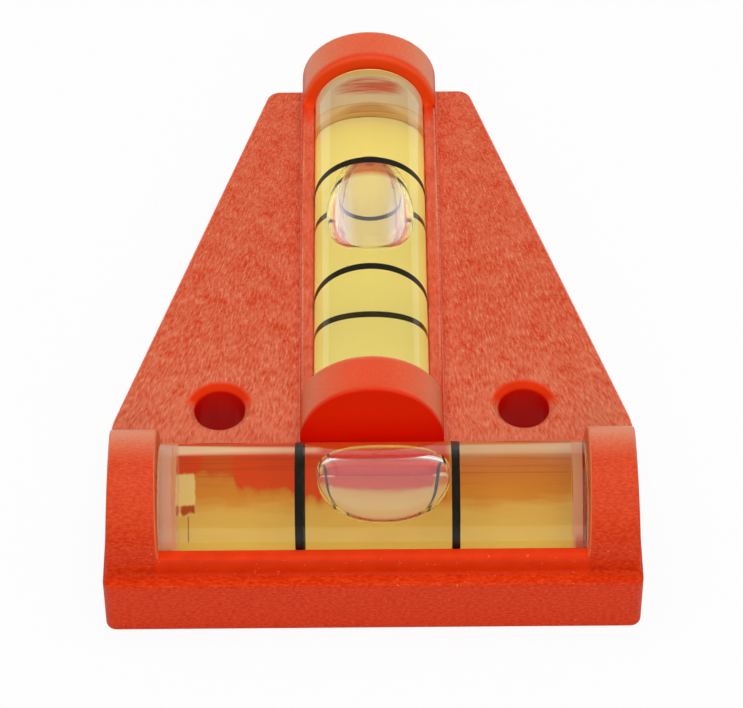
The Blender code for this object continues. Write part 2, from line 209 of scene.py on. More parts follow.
def addShares(tree, values, shares):  # adds named values, each the product of its factors
    def read(factor):  # a value's name, a number, a list that gives its largest, or a range
        if isinstance(factor, str):
            return values[factor]
        if isinstance(factor, list):
            return chain("MAXIMUM", factor)
        if isinstance(factor, tuple):  # a value, its two limits, and what it becomes there if not 0 and 1
            value, *limits = factor
            inputs = {0: values[value], **dict(enumerate(limits, start=1))}
            return addNode(tree, "MapRange", inputs)
        return factor

    def chain(operation, factors):
        result = read(factors[0])
        for factor in factors[1:]:
            result = addNode(tree, "Math", {0: result, 1: read(factor)}, operation=operation)
        return result

    for name, factors in shares.items():
        values[name] = chain("MULTIPLY", factors)


def addLayers(tree, values, colours, layers):  # colours laid over one another by their shares
    paints = {name: hexColour(code) if isinstance(code, str) else code for name, code in colours.items()}
    for name, (first, *others) in layers.items():
        paint = paints[first]
        for share, other in others:
            paint = addNode(tree, "Mix", {0: values[share], 6: paint, 7: paints[other]}, data_type="RGBA")
        paints[name] = paint
    return paint


def dress(piece, materials, body, nodes):
    for material in materials:
        piece.data.materials.append(material)
    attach(piece, body)
    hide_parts(*nodes)


# Camera: a long lens in front, looking down by a little over 48 degrees

cameraValues = {
    "place": (-0.443, -218.499, 246.304),
    "tilt": 41.783,
    "yaw": -0.124,
    "roll": -0.345,
    "lens": 177.115,
}


def makeCamera():
    camera = bpy.data.objects.new("camera", bpy.data.cameras.new("camera"))
    bpy.context.scene.collection.objects.link(camera)
    camera.data.lens = cameraValues["lens"]
    camera.data.clip_start = 0.01
    turn = Matrix.Identity(4)
    for angle, axis in (("yaw", "Z"), ("tilt", "X"), ("roll", "Z")):
        turn = turn @ Matrix.Rotation(math.radians(cameraValues[angle]), 4, axis)
    camera.matrix_world = Matrix.Translation(Vector(cameraValues["place"]) * mm) @ turn
    bpy.context.scene.camera = camera
    print("camera set")


# Light: a white room and large soft lamps, so that a colour renders about as it is written

lightValues = {
    "floorColour": "#F4F4F4",
    "floorWhite": 0.93,  # how far the floor is lifted to plain white where the camera sees it
    "shares": {  # gloss mirrors a dim room, apart from a white sheet that hangs low behind the object
        "plain": (("seen", 0.0, 1.0, 0.34, 1.0),),
        "sheet": (("side", 0.6, 0.4), ("z", 0.47, 0.41), ("y", 0.0, 0.2)),
        "mirrored": (("sheet", 0.0, 1.0, 0.12, 1.0),),
    },
    "lamps": {
        "topLamp": {"place": (0, 20, 520), "aim": (0, 0, 5), "size": 420, "power": 1.55},
        "frontLamp": {"place": (60, -540, 300), "aim": (0, 0, 5), "size": 360, "power": 0.9},
    },
}


def makeLight():
    world = bpy.data.worlds.new("room")
    bpy.context.scene.world = world
    world.use_nodes = True
    tree = world.node_tree
    tree.nodes.clear()
    path = addNode(tree, "LightPath").outputs
    x, y, z = addNode(tree, "SeparateXYZ", {0: addNode(tree, "TexCoord").outputs["Generated"]}).outputs
    values = {"y": y, "z": z, "side": addNode(tree, "Math", {0: x}, operation="ABSOLUTE")}
    inputs = {0: path["Is Camera Ray"], 1: path["Is Transmission Ray"]}
    values["seen"] = addNode(tree, "Math", inputs, operation="MAXIMUM")
    addShares(tree, values, lightValues["shares"])
    inputs = {0: path["Is Glossy Ray"], 1: path["Is Transmission Ray"]}
    gloss = addNode(tree, "Math", inputs, operation="SUBTRACT")
    strength = addNode(tree, "Mix", {0: gloss, 2: values["plain"], 3: values["mirrored"]})
    room = addNode(tree, "Background", {"Color": (1, 1, 1, 1), "Strength": strength})
    addNode(tree, "OutputWorld", {"Surface": room})
    for name, values in lightValues["lamps"].items():
        lamp = bpy.data.objects.new(name, bpy.data.lights.new(name, "AREA"))
        bpy.context.scene.collection.objects.link(lamp)
        lamp.data.shape = "DISK"
        lamp.data.size = values["size"] * mm
        lamp.data.energy = values["power"]
        lamp.visible_glossy = False  # the glass mirrors the plain white room, and not the lamps
        lamp.visible_transmission = False
        place = Vector(values["place"]) * mm
        turn = (Vector(values["aim"]) * mm - place).to_track_quat("-Z", "Y").to_matrix().to_4x4()
        lamp.matrix_world = Matrix.Translation(place) @ turn
    print("light set")


def makeFloor():
    deselectAll()
    bpy.ops.mesh.primitive_plane_add(size=3, location=(0, 0, -2 * tiny))
    bpy.ops.object.transform_apply()
    floor = nameActive("floor")
    material, tree = newMaterial("paleFloor")
    seen = addNode(tree, "LightPath").outputs["Is Camera Ray"]
    card = addNode(tree, "BsdfDiffuse", {"Color": hexColour(lightValues["floorColour"])})
    white = addNode(tree, "Emission", {"Color": (1, 1, 1, 1), "Strength": 1.0})
    lift = addNode(tree, "Math", {0: seen, 1: lightValues["floorWhite"]}, operation="MULTIPLY")
    both = addNode(tree, "MixShader", {0: lift, 1: card, 2: white})
    addNode(tree, "OutputMaterial", {"Surface": both})
    floor.data.materials.append(material)
    print("floor laid")


# Housing

housingValues = {
    "halfWidth": 22.65,
    "backHalfWidth": 9.3,
    "front": -29.65,
    "back": 29.65,
    "shoulder": -11.75,
    "plateHeight": 5.9,
    "cornerRound": 0.9,
    "edgeRound": 0.3,
    "frontRound": 0.6,
    "axisHeight": 7.8,
    "seatRadius": 5.08,
    "seatDrop": 0.5,
    "cradleRadius": 6.2,
    "sillHeight": 7.79,
    "crossY": -22.05,
    "crossHalfLength": 22.45,
    "longY": 7.45,
    "barFront": -15.25,
    "barBack": 29.58,
    "troughHalfLength": 18.0,
    "draft": 3.0,
    "cheekDraft": 1.0,
    "windowMargin": 0.3,
    "rimRound": 0.18,
    "windowRound": 0.5,
    "cheekRound": 0.2,
    "sillRound": 0.45,
    "footRound": 0.9,
    "holeX": 13.25,
    "holeY": -9.75,
    "holeRadius": 2.2,
    "countersink": 0.5,
    "skin": 2.0,
    "rim": 1.6,
    "rib": 1.2,
    "ribRecess": 0.5,
    "bossRadius": 4.0,
    "pocketRound": 0.8,
    "pocketInner": 6.45,
    "pocketFront": -15.6,
    "ribPlaces": (-9.75, 5.63, 16.4),
    "voxel": 0.12,  # the moulding's edges are softened by about this much
    "softening": 2,
    "faces": 180000,
}


def makePlate():
    h = housingValues
    low = (-h["halfWidth"], h["front"], 0)
    plate = addBlock("housingMoulding", low, (h["halfWidth"], h["back"], h["plateHeight"]))
    startEditing(plate)
    pickAll()
    cutAcross((0, h["shoulder"] * mm, 0), (0, 1, 0))
    pick(plate, "VERT", lambda point: point.co.y > h["back"] * mm - tiny)
    narrow = h["backHalfWidth"] / h["halfWidth"]
    bpy.ops.transform.resize(value=(narrow, 1, 1), center_override=(0, h["back"] * mm, 0))
    roundEdges(plate, isUpright, h["cornerRound"], 5)
    roundEdges(plate, isFrontRim, h["frontRound"], 5)
    roundEdges(plate, isRim, h["edgeRound"], 3)
    stopEditing()
    return plate


def isFrontRim(edge):  # the top edge along the front of the plate
    h = housingValues
    return all(
        point.co.y < h["front"] * mm + tiny and point.co.z > h["plateHeight"] * mm - tiny for point in edge.verts
    )


def slantX(y, margin):  # how far out the tapered side lies at y, less a margin square to it
    h = housingValues
    slope = (h["halfWidth"] - h["backHalfWidth"]) / (h["back"] - h["shoulder"])
    return h["halfWidth"] - (y - h["shoulder"]) * slope - margin * math.hypot(1, slope)


def makeBar(name, start, end):  # a round-topped bar whose ends lean inwards as they rise
    h = housingValues
    bar = addRod(name, (start[0], start[1], h["axisHeight"]), (end[0], end[1], h["axisHeight"]), h["cradleRadius"])
    startEditing(bar)
    pickAll()
    level = (0, 0, h["axisHeight"] * mm)
    cutAcross(level, (0, 0, 1), clear_inner=True, use_fill=True)
    pick(bar, "FACE", lambda face: face.normal.z < -0.9)
    drop = (h["plateHeight"] / 2 - h["axisHeight"]) * mm
    extrude(0, 0, drop)
    along = Vector(end) - Vector(start)
    middle = (Vector(start) + Vector(end)) / 2 * mm
    across = 0 if abs(along.x) > abs(along.y) else 1

    def lean(place):
        rise = max(place.z - h["plateHeight"] * mm, 0)
        place[across] -= math.copysign(rise * math.tan(math.radians(h["draft"])), place[across] - middle[across])
        return place

    def isCrownRim(edge):  # on the round top, at one of the bar's two ends
        first, last = (point.co for point in edge.verts)
        sameEnd = (first[across] - middle[across]) * (last[across] - middle[across]) > 0
        return sameEnd and min(first.z, last.z) > h["axisHeight"] * mm + tiny

    movePoints(bar, lean)
    roundEdges(bar, isCrownRim, h["rimRound"], 4)
    stopEditing()
    return bar


def makeTrough(name, start, end):  # the room for a vial and the adhesive under it
    h = housingValues
    level = h["axisHeight"]
    trough = addRod(name, (start[0], start[1], level), (end[0], end[1], level), h["seatRadius"])
    startEditing(trough)
    pickAll()
    cutAcross((0, 0, level * mm), (0, 0, 1))
    pick(trough, "FACE", lambda face: face.calc_center_median().z < level * mm - tiny)
    extrude(0, 0, -h["seatDrop"] * mm)
    stopEditing()
    return trough


def makeWindow(name, low, high, across, draft):  # opens a bar above its sills
    window = addBlock(name, low, high)
    startEditing(window)
    middle = (low[across] + high[across]) / 2 * mm
    widening = (high[2] - low[2]) * mm * math.tan(math.radians(draft))

    def widen(place):
        if place.z > (low[2] + high[2]) / 2 * mm:
            place[across] += math.copysign(widening, place[across] - middle)
        return place

    movePoints(window, widen)
    stopEditing()
    return window


def isOnRim(place, along, across, draft):  # on the round top of a bar, where its window ends
    h = housingValues
    rise = place.z / mm - h["axisHeight"]
    reach = h["troughHalfLength"] + (place.z / mm - h["sillHeight"]) * math.tan(math.radians(draft))
    onCrown = abs(math.hypot(across, rise) - h["cradleRadius"]) < close
    return onCrown and rise > 0.3 and abs(abs(along) - reach) < close


def isCheekRim(edge):
    middle, draft = housingValues["crossY"], housingValues["cheekDraft"]
    return all(isOnRim(point.co, point.co.x / mm, point.co.y / mm - middle, draft) for point in edge.verts)


def isArchRim(edge):
    middle, draft = housingValues["longY"], housingValues["draft"]
    return all(isOnRim(point.co, point.co.y / mm - middle, point.co.x / mm, draft) for point in edge.verts)


def isFrontSill(edge):  # the outer edge of the sill in front of the crosswise vial
    h = housingValues
    front = h["crossY"] - h["cradleRadius"]
    return all(
        abs(point.co.y / mm - front) < close and abs(point.co.z / mm - h["sillHeight"]) < exact
        for point in edge.verts
    )


def isArchFoot(edge):  # where an arch's window face stands on the strips beside the long vial
    h = housingValues
    return all(
        abs(abs(point.co.y / mm - h["longY"]) - h["troughHalfLength"]) < exact
        and abs(point.co.z / mm - h["sillHeight"]) < exact
        and abs(point.co.x / mm) < h["cradleRadius"] + exact
        for point in edge.verts
    )


def roundWindows(housing):
    h = housingValues
    startEditing(housing)
    rounds = (
        (isCheekRim, h["cheekRound"]),
        (isArchRim, h["windowRound"]),
        (isFrontSill, h["sillRound"]),
        (isArchFoot, h["footRound"]),
    )
    for test, width in rounds:
        roundEdges(housing, test, width, 4)
    print("window edges rounded")
    stopEditing()


def makePocket(side):
    h = housingValues
    back = h["back"] - h["rim"]
    outer = h["halfWidth"] - h["rim"]
    places = sorted((side * h["pocketInner"], side * outer))
    top = h["plateHeight"] - h["skin"]
    pocket = addBlock("pocket", (places[0], h["pocketFront"], -1), (places[1], back, top))
    startEditing(pocket)
    pickAll()
    cutAcross((0, h["shoulder"] * mm, 0), (0, 1, 0))

    def taper(place):
        if place.y > back * mm - tiny and abs(place.x) > outer * mm - tiny:
            place.x = side * slantX(back, h["rim"]) * mm
        return place

    movePoints(pocket, taper)
    roundEdges(pocket, isUpright, h["pocketRound"], 4)
    stopEditing()
    return pocket


def makeHole(side):
    h = housingValues
    x, y = side * h["holeX"], h["holeY"]
    neck = h["plateHeight"] - h["countersink"]
    hole = addRod("hole", (x, y, -1), (x, y, neck), h["holeRadius"], sides=72)
    startEditing(hole)
    pick(hole, "FACE", lambda face: face.normal.z > 0.9)
    rise = h["countersink"] + 1
    extrude(0, 0, rise * mm)
    wider = 1 + rise / h["holeRadius"]
    bpy.ops.transform.resize(value=(wider, wider, 1), center_override=(x * mm, y * mm, 0))
    stopEditing()
    return hole


def coreUnderside(plate):
    h = housingValues
    for side in (-1, 1):
        combine(plate, makePocket(side), "DIFFERENCE")
    roof = h["plateHeight"] - h["skin"] / 2
    for side in (-1, 1):
        x, y = side * h["holeX"], h["holeY"]
        combine(plate, addRod("boss", (x, y, 0), (x, y, roof), h["bossRadius"], sides=72), "UNION")
        low = (x - h["rib"] / 2, h["pocketFront"] - 1, h["ribRecess"])
        combine(plate, addBlock("longRib", low, (x + h["rib"] / 2, y, roof)), "UNION")
    for y in h["ribPlaces"]:
        reach = slantX(y, h["rim"] / 2) if y > h["shoulder"] else h["halfWidth"] - h["rim"] / 2
        low = (-reach, y - h["rib"] / 2, h["ribRecess"])
        combine(plate, addBlock("crossRib", low, (reach, y + h["rib"] / 2, roof)), "UNION")


def makeHousing():
    h = housingValues
    housing = makePlate()
    ends = {
        "cross": ((-h["crossHalfLength"], h["crossY"]), (h["crossHalfLength"], h["crossY"])),
        "long": ((0, h["barFront"]), (0, h["barBack"])),
    }
    for name, (start, end) in ends.items():
        combine(housing, makeBar(name + "Bar", start, end), "UNION")
    coreUnderside(housing)
    reach, wide = h["troughHalfLength"], h["cradleRadius"] + h["windowMargin"]
    top = h["axisHeight"] + h["cradleRadius"] + 1
    low = (-reach, h["crossY"] - wide, h["sillHeight"])
    high = (reach, h["crossY"] + wide, top)
    combine(housing, makeWindow("crossWindow", low, high, 0, h["cheekDraft"]), "DIFFERENCE")
    low = (-wide, h["longY"] - reach, h["sillHeight"])
    high = (wide, h["longY"] + reach, top)
    combine(housing, makeWindow("longWindow", low, high, 1, h["draft"]), "DIFFERENCE")
    roundWindows(housing)
    trough = makeTrough("crossTrough", (-reach, h["crossY"]), (reach, h["crossY"]))
    combine(housing, trough, "DIFFERENCE")
    trough = makeTrough("longTrough", (0, h["longY"] - reach), (0, h["longY"] + reach))
    combine(housing, trough, "DIFFERENCE")
    for side in (-1, 1):
        combine(housing, makeHole(side), "DIFFERENCE")
    applyModifier(housing, "REMESH", mode="VOXEL", voxel_size=h["voxel"] * mm, use_smooth_shade=True)
    applyModifier(housing, "SMOOTH", factor=0.5, iterations=h["softening"])
    triangles = 2 * len(housing.data.polygons)
    applyModifier(housing, "DECIMATE", ratio=min(1.0, h["faces"] / triangles))
    smooth(housing, 60)
    print("housing made:", len(housing.data.polygons), "faces")
    return housing


# Vials: made once along X, about the middle of their axis, and then copied to their two cradles

vialValues = {
    "radius": 5.0,
    "halfLength": 17.95,
    "sides": 128,
    "endRound": 0.12,
    "seam": 16.72,  # where the barrel's open end meets the plug, towards -X
    "plugFace": 16.75,
    "spigotEnd": 16.4,
    "spigotRadius": 3.82,
    "chamberHigh": 16.7,
    "boreRadius": 4.0,
    "boreBulge": 0.15,
    "boreSteps": 16,
    "lineSpacing": 13.1,
    "lineWidth": 0.68,
    "lineMiddle": 0.4,
    "inkHeight": 0.02,
    "inkDepth": 0.03,
    "liquidLevel": -0.1,  # above the axis, just under the bubble's path
    "liquidGap": 0.02,
}

bubbleValues = {
    "length": 11.2,
    "width": 6.15,
    "top": 3.82,  # its top follows this radius, a little inside the bore
    "bottom": 0.3,  # above the vial's axis
    "outline": 2.4,  # seen from above, 2 is an ellipse and more is squarer
    "roll": 0.85,  # the height over which its rim turns round
    "rollPower": 4.0,
    "rest": {"transverse": 0.5, "longitudinal": -2.4},
}


def boreRadiusAt(along):  # millimetres from the middle of the vial
    v = vialValues
    middle = (v["chamberHigh"] - v["spigotEnd"]) / 2
    half = (v["chamberHigh"] + v["spigotEnd"]) / 2
    share = min(abs(along - middle) / half, 1.0)
    return v["boreRadius"] - v["boreBulge"] * share ** 2


def makeBarrel():
    v = vialValues
    barrel = addRod("barrelModel", (-v["seam"], 0, 0), (v["halfLength"], 0, 0), v["radius"], v["sides"])
    startEditing(barrel)
    mouth = boreRadiusAt(-v["seam"])
    pick(barrel, "FACE", lambda face: face.normal.x < -0.9)
    bpy.ops.mesh.inset(thickness=(v["radius"] - mouth) * mm)
    steps = v["boreSteps"]
    last = mouth
    for step in range(1, steps + 1):
        along = -v["seam"] + (v["chamberHigh"] + v["seam"]) * step / steps
        advance = (v["chamberHigh"] + v["seam"]) / steps * mm
        extrude(advance, 0, 0)
        wider = boreRadiusAt(along) / last
        bpy.ops.transform.resize(value=(1, wider, wider), center_override=(0, 0, 0))
        last = boreRadiusAt(along)
    roundEdges(barrel, lambda edge: isRing(edge, v["halfLength"], v["radius"]), v["endRound"], 6)
    stopEditing()
    for face in barrel.data.polygons:
        isSeam = face.center.x < -v["seam"] * mm + tiny
        face.material_index = 2 if isSeam else 1 if isBoreFace(face) else 0
    smooth(barrel, 40)
    return barrel


def isRing(edge, along, radius):  # on a ring of that radius, at that place along X, in millimetres
    return all(
        abs(point.co.x - along * mm) < 2 * tiny and abs(point.co.yz.length - radius * mm) < 2 * tiny
        for point in edge.verts
    )


def isBoreFace(face):  # what the liquid wets: the bore and the flat wall at its end
    v = vialValues
    return face.center.yz.length < (v["boreRadius"] + 0.05) * mm and face.center.x < (v["chamberHigh"] + 0.05) * mm


def makePlug():
    v = vialValues
    plug = addRod("plugModel", (-v["halfLength"], 0, 0), (-v["plugFace"], 0, 0), v["radius"], v["sides"])
    startEditing(plug)
    pick(plug, "FACE", lambda face: face.normal.x > 0.9)
    bpy.ops.mesh.inset(thickness=(v["radius"] - v["spigotRadius"]) * mm)
    advance = (v["plugFace"] - v["spigotEnd"]) * mm
    extrude(advance, 0, 0)
    roundEdges(plug, lambda edge: isRing(edge, -v["halfLength"], v["radius"]), v["endRound"], 6)
    stopEditing()
    for face in plug.data.polygons:
        isSeam = abs(face.center.x + v["plugFace"] * mm) < tiny and face.center.yz.length > v["spigotRadius"] * mm
        isWet = face.center.x > -v["plugFace"] * mm + tiny
        face.material_index = 2 if isSeam else 1 if isWet else 0
    smooth(plug, 40)
    return plug


def makeLine():
    v = vialValues
    half = v["lineWidth"] / 2
    outer = v["radius"] + v["inkHeight"]
    line = addRod("lineModel", (-half, 0, 0), (half, 0, 0), outer, v["sides"], fill="NOTHING")
    applyModifier(line, "SOLIDIFY", thickness=(v["inkHeight"] + v["inkDepth"]) * mm, offset=-1)
    smooth(line, 40)
    return line


def makeLiquid():
    v = vialValues
    gap = v["liquidGap"]
    low, high = -v["spigotEnd"] + gap, v["chamberHigh"] - gap
    liquid = addRod("liquidModel", (low, 0, 0), (high, 0, 0), v["boreRadius"], v["sides"])
    startEditing(liquid)
    pick(liquid, "EDGE", lambda edge: abs(edge.verts[0].co.x - edge.verts[1].co.x) > mm)
    bpy.ops.mesh.subdivide(number_cuts=v["boreSteps"] - 1)

    def followBore(place):
        wider = (boreRadiusAt(place.x / mm) - gap) / v["boreRadius"]
        return Vector((place.x, place.y * wider, place.z * wider))

    movePoints(liquid, followBore)
    pickAll()
    level = (0, 0, v["liquidLevel"] * mm)
    cutAcross(level, (0, 0, 1), clear_outer=True, use_fill=True)
    stopEditing()
    smooth(liquid, 40)
    return liquid


def makeBubble():
    b = bubbleValues
    deselectAll()
    bpy.ops.mesh.primitive_uv_sphere_add(segments=128, ring_count=72, radius=mm)
    bubble = nameActive("bubbleModel")
    startEditing(bubble)

    def swell(place):  # from a ball to a long bubble that lies along the top of the bore
        x, y, z = place / mm
        out = min(1.0, math.hypot(x, y))
        if out > 1e-6:
            x, y = x / out, y / out
        edge = (abs(x) ** b["outline"] + abs(y) ** b["outline"]) ** (-1 / b["outline"]) if out > 1e-6 else 0.0
        rimAcross = y * edge * b["width"] / 2
        along, across = out * x * edge * b["length"] / 2, out * rimAcross
        rimHeight = math.sqrt(b["top"] ** 2 - rimAcross ** 2) - b["roll"]
        if z >= 0:
            drop = 1 - (1 - out ** b["rollPower"]) ** (1 / b["rollPower"])
            height = math.sqrt(b["top"] ** 2 - across ** 2) - b["roll"] * drop
        else:
            height = rimHeight + (b["bottom"] - rimHeight) * math.sqrt(1 - out ** 2)
        return Vector((along, across, height)) * mm

    movePoints(bubble, swell)
    stopEditing()
    smooth(bubble, 80)
    return bubble


def putCopy(model, name, place):  # a copy with its own mesh, with its place in the mesh
    useOnly(model)
    bpy.ops.object.duplicate(linked=False)
    return settle(nameActive(name), place)


# Adhesive: a cream bed that fills the room between the vial and its seat, ragged along its edges

adhesiveValues = {
    "inner": 4.98,
    "thickness": 0.16,
    "start": -17.8,
    "end": 17.65,
    "step": 0.12,
    "steps": 84,
    "transverse": {  # its edges in degrees round the vial, from places along it
        "edges": (((0, -58),), ((-17.5, 63), (5.9, 63), (6.5, 64), (8.0, 70))),
        "wander": 0.8,
        "seed": 3.0,
    },
    "longitudinal": {"edges": (((0, -52),), ((0, 52),)), "wander": 5, "seed": 11.0},
}


def readTable(table, place):  # a value between the entries of a table, and flat beyond them
    if place <= table[0][0]:
        return table[0][1]
    for (first, low), (last, high) in zip(table[:-1], table[1:]):
        if place < last:
            return low + (high - low) * (place - first) / (last - first)
    return table[-1][1]


def makeAdhesive(name, which, place):  # a flat grid, rolled round the vial from one ragged edge to the other
    a = adhesiveValues
    own = a[which]
    deselectAll()
    cells = round((a["end"] - a["start"]) / a["step"])
    bpy.ops.mesh.primitive_grid_add(x_subdivisions=cells, y_subdivisions=a["steps"], size=2, calc_uvs=True)
    bed = nameActive(name)
    startEditing(bed)

    def edgeAt(side, along):
        ragged = 0.0
        for pitch, share in ((0.5, 0.6), (1.6, 0.4)):
            ragged += share * noise.noise(Vector((along * pitch, own["seed"] + pitch, 9.0 * side)))
        return readTable(own["edges"][side], along) + 2 * own["wander"] * ragged

    def roll(spot):
        along = a["start"] + (a["end"] - a["start"]) * (spot.x + 1) / 2
        share = (spot.y + 1) / 2
        angle = math.radians(edgeAt(0, along) * (1 - share) + edgeAt(1, along) * share)
        return Vector((along, a["inner"] * math.sin(angle), -a["inner"] * math.cos(angle))) * mm

    movePoints(bed, roll)
    pickAll()
    bpy.ops.mesh.normals_make_consistent(inside=False)
    stopEditing()
    applyModifier(bed, "SOLIDIFY", thickness=a["thickness"] * mm, offset=1)
    smooth(bed, 60)
    return settle(bed, place)


# End pad: adhesive pressed between the long vial's far end and the wall behind it

padValues = {
    "radius": 4.93,
    "inner": -17.84,  # just inside the plug's end face, so that the pad shows as stuck to it
    "outer": -17.98,
}


def makePad(name, place):
    p = padValues
    pad = addRod(name, (p["outer"], 0, 0), (p["inner"], 0, 0), p["radius"], sides=96)
    smooth(pad, 40)
    return settle(pad, place)


# Materials

plasticColours = {
    "smooth": "#EE3C0A",
    "smoothDeep": "#E43404",
    # painted shade and red bounce light: saturated reds for the faces in front of the arch windows, deeper lower
    # down and more orange on the far arch
    "recessBounceHigh": "#FF2400",
    "recessBounceLow": "#F01600",
    "farRecessBounce": "#FF4A10",
    # painted shade: deeper red down inside the screw holes
    "hole": "#DE1200",
    # painted shade: deep red on the floor of the gap between the crosswise vial and the near arch
    "slot": "#C41002",
    # painted light: a pale orange that lifts the shaded inner faces of the cheeks beside the crosswise vial's ends
    "besideVial": "#FF7A4C",
    # streak colours, paler than the moulded red: where they are laid on, the up-facing faces carry a painted sheen
    "brushedDeep": "#D23C16",
    "brushedPale": "#E47C5A",
    "fleck": "#F09C7C",
    # painted sheen: a pale glancing reflection on the round tops of the bars
    "crown": "#EE8E68",
    # darker mottled reds, partly real wear and partly painted shade on the cheeks and the front ledge
    "scuffAndShadeDeep": "#CC2802",
    "scuff": "#E84C1A",
    # worn edges and painted highlight: a pale line along the rounded top edges
    "edge": "#FF9E7E",
}

plasticNoises = {  # scale per millimetre, detail and roughness
    "grain": (5.5, 3.0, 0.5),
    "clouds": (0.5, 4.0, 0.6),
    "sway": (0.25, 1.0, 0.5),
    "specks": (3.2, 1.0, 0.5),
}

plasticValues = {
    "fanLength": 58.5,  # the brushed streaks run together at this place along Y
    "sway": 0.7,
    "streakScale": (6.0, 1.3, 1.5),
    "scuffScale": (2.6, 5.5, 5.5),
    "cloudiness": 0.36,
    # how much paler the strips are painted, part of the painted sheen
    "stripLift": 0.12,
}

plasticShares = {  # see addShares
    "outsideHole": (("fromHole", 2.7, 3.05),),
    "topPlate": (("up", 0.93, 0.99), ("z", 6.2, 6.05), ("y", -28.0, -26.0), "outsideHole"),
    "holeLip": (("y", -8.75, -9.95), ("up", 0.4, 0.6), ("z", 5.3, 5.4), ("fromHole", 3.4, 3.2)),
    "strip": (("up", 0.4, 0.7), ("z", 7.2, 7.5), ("z", 8.4, 8.1), ("y", -15.5, -15.0, 0.0, 0.68), ("y", 25.4, 23.0)),
    # painted shade on the floor of that gap, where the sheen is also kept off
    "slot": (("side", 6.0, 5.7), ("y", -17.8, -17.5), ("y", -14.9, -15.1), ("up", 0.3, 0.6), ("z", 6.6, 6.4)),
    # real streaks and wear with a painted sheen: the up-facing plate, the hole lips and the strips painted paler,
    # but not the gap floor
    "haze": (["topPlate", "holeLip", "strip"], ("slot", 1.0, 0.0)),
    "cheekFront": (("side", 17.8, 18.2), ("up", 0.75, 0.35)),
    # painted sheen where the round tops turn away from the view, more on the cheeks and towards the far end
    "crown": (
        ("facing", 0.16, 0.65, 0.1, 0.9), ("z", 8.3, 9.5), ("up", 0.1, 0.35), ("side", 17.8, 18.2, 1.0, 1.3),
        ("cheekFront", 0.0, 1.0, 1.0, 0.1), ("y", -10.0, 25.0, 0.9, 1.2), ("grain", 0.3, 0.7, 0.75, 1.25),
    ),
    # where the shade and red bounce light are painted: the near arch's front and the far arch's window face, deeper
    # below 8 mm and more orange towards the far end
    "inRecess": ([("normalY", -0.5, -0.8), ("y", -15.1, -15.2)], ("side", 6.9, 6.5), ("y", -20.0, -18.0)),
    "raised": (("z", 8.0, 11.0),),
    "far": (("y", 0.0, 20.0),),
    # painted shade down inside the screw holes
    "inHole": (("fromHole", 2.5, 2.3), ("z", 5.6, 5.3)),
    "onCheek": (("side", 17.9, 18.3), ("y", -9.0, -15.0)),
    # partly real wear and partly painted shade: the cheeks and the front ledge painted darker
    "rubbed": (["onCheek", ("y", -28.2, -28.6)], 0.8),
    "cloudy": (("clouds", 0.3, 0.7),),
    "scuffing": (("scuffs", 0.4, 0.64),),
    "speck": (("specks", 0.73, 0.78), ("y", -27.6, -28.2), 0.5),
    # painted light on the cheeks' inner faces beside the crosswise vial's ends
    "besideVial": (("normalSide", 0.5, 0.8), ("side", 18.9, 18.6), ("side", 17.7, 17.9), ("z", 6.0, 7.0)),
    "toFront": (("y", 26.0, -8.0, 0.35, 0.8),),
    "nearFront": (("y", 0.0, -14.0, 0.0, 0.1),),
    "flecked": (("streaks", 0.6, 0.74, 0.0, 0.6),),
    "stripBorder": (("side", 5.9, 6.05), ("side", 6.6, 6.4), ("z", 8.2, 8.0)),
    # worn edges and painted highlight on the sloping faces of rounded edges, broken up by the grain
    "border": (
        ("up", 0.2, 0.5), ("up", 0.98, 0.88), ("z", 5.2, 5.5), "outsideHole", [("z", 6.05, 5.95), "stripBorder"],
        ("y", -15.4, -15.0), ("grain", 0.38, 0.56, 0.2, 0.8),
    ),
    "relief": (("haze", 0.0, 1.0, 0.3, 1.0),),
    "roughness": (("haze", 0.0, 1.0, 0.4, 0.5),),
}

plasticLayers = {  # see addLayers
    # painted shade and red bounce light in the recesses
    "recessBounce": ("recessBounceLow", ("raised", "recessBounceHigh"), ("far", "farRecessBounce")),
    # wear mottling that also paints shade
    "scuffedAndShaded": ("scuffAndShadeDeep", ("scuffing", "scuff")),
    "moulded": (
        "smoothDeep", ("cloudy", "smooth"), ("inRecess", "recessBounce"), ("inHole", "hole"), ("rubbed", "scuffedAndShaded"),
        ("speck", "fleck"), ("slot", "slot"), ("besideVial", "besideVial"),
    ),
    # streaks and wear, laid on with the painted sheen
    "brushedWithSheen": ("brushedDeep", ("pale", "brushedPale"), ("flecked", "fleck")),
    "surface": ("moulded", ("haze", "brushedWithSheen"), ("crown", "crown"), ("border", "edge")),
}


